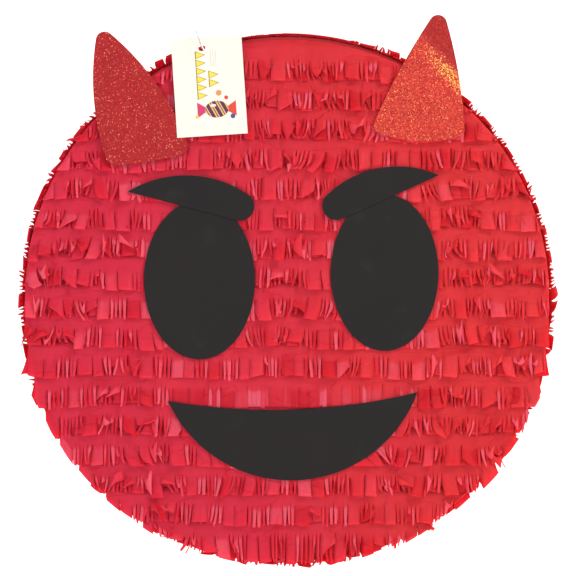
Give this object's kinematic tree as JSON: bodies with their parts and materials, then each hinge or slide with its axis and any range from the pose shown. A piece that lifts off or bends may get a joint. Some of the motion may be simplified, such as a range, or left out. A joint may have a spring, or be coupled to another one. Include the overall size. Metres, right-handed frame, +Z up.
{
  "type": "pinata",
  "caption": "Round drum pinata covered in cut red tissue fringe, with black card eyes, brows and grin, glitter foam horns, a hang tag, a hanging hole and a fill door in the back.",
  "frame": {"origin": "centre of the hanging hole's outer mouth, on the band's top, halfway through the drum's depth", "axes": "+Z up along the hanging hole, the face looks towards -Y, +X to the right as seen from the front"},
  "size_m": [0.4826, 0.1216, 0.4958],
  "materials": {
    "cardboard": "matte",
    "red_paper": "matte",
    "paper_tape": "matte",
    "red_tissue": "matte",
    "black_card": "matte",
    "glitter_foam": "satin",
    "tag_card": "satin",
    "clear_plastic": "gloss"
  },
  "bodies": {
    "drum": {"back_board": "cardboard", "back_edge_tape": "red_paper", "back_row_01": "red_tissue", "back_row_02": "red_tissue", "back_row_03": "red_tissue", "back_row_04": "red_tissue", "back_row_05": "red_tissue", "back_row_06": "red_tissue", "back_row_07": "red_tissue", "back_row_08": "red_tissue", "back_row_09": "red_tissue", "back_row_10": "red_tissue", "back_row_11": "red_tissue", "back_row_12": "red_tissue", "back_row_13": "red_tissue", "back_row_14": "red_tissue", "back_row_15": "red_tissue", "back_row_16": "red_tissue", "back_row_17": "red_tissue", "band_lower": "cardboard", "band_upper": "cardboard", "flap_tape_fixed": "paper_tape", "front_board": "cardboard", "front_edge_tape": "red_paper", "front_row_01": "red_tissue", "front_row_02": "red_tissue", "front_row_03": "red_tissue", "front_row_04": "red_tissue", "front_row_05": "red_tissue", "front_row_06": "red_tissue", "front_row_07": "red_tissue", "front_row_08": "red_tissue", "front_row_09": "red_tissue", "front_row_10": "red_tissue", "front_row_11": "red_tissue", "front_row_12": "red_tissue", "front_row_13": "red_tissue", "front_row_14": "red_tissue", "front_row_15": "red_tissue", "front_row_16": "red_tissue", "front_row_17": "red_tissue", "hanger_plate": "cardboard", "left_brow": "black_card", "left_eye": "black_card", "left_horn": "glitter_foam", "mouth": "black_card", "right_brow": "black_card", "right_eye": "black_card", "right_horn": "glitter_foam", "seam_tapes": "paper_tape", "side_row_1": "red_tissue", "side_row_2": "red_tissue", "side_row_3": "red_tissue", "side_row_4": "red_tissue", "tag_anchor": "clear_plastic"},
    "flap": {"fill_flap": "cardboard", "flap_rows": "red_tissue", "flap_tape_moving": "paper_tape"},
    "loop": {"tag_loop": "clear_plastic"},
    "tag": {"hang_tag": "tag_card"}
  },
  "joints": [
    {"name": "flap_fold", "type": "hinge", "parent": "drum", "child": "flap", "pos_m": [0, 0.05, -0.1228], "axis": [1, 0, 0], "range_deg": [0, 100]},
    {"name": "tag_lift", "type": "hinge", "parent": "drum", "child": "loop", "pos_m": [-0.07916, -0.039, -0.00246], "axis": [-0.9466, 0, -0.3223], "range_deg": [0, 50]},
    {"name": "tag_swing", "type": "hinge", "parent": "loop", "child": "tag", "pos_m": [-0.07659, -0.05725, -0.01003], "axis": [0, 1, 0], "range_deg": [-30, 30]}
  ]
}
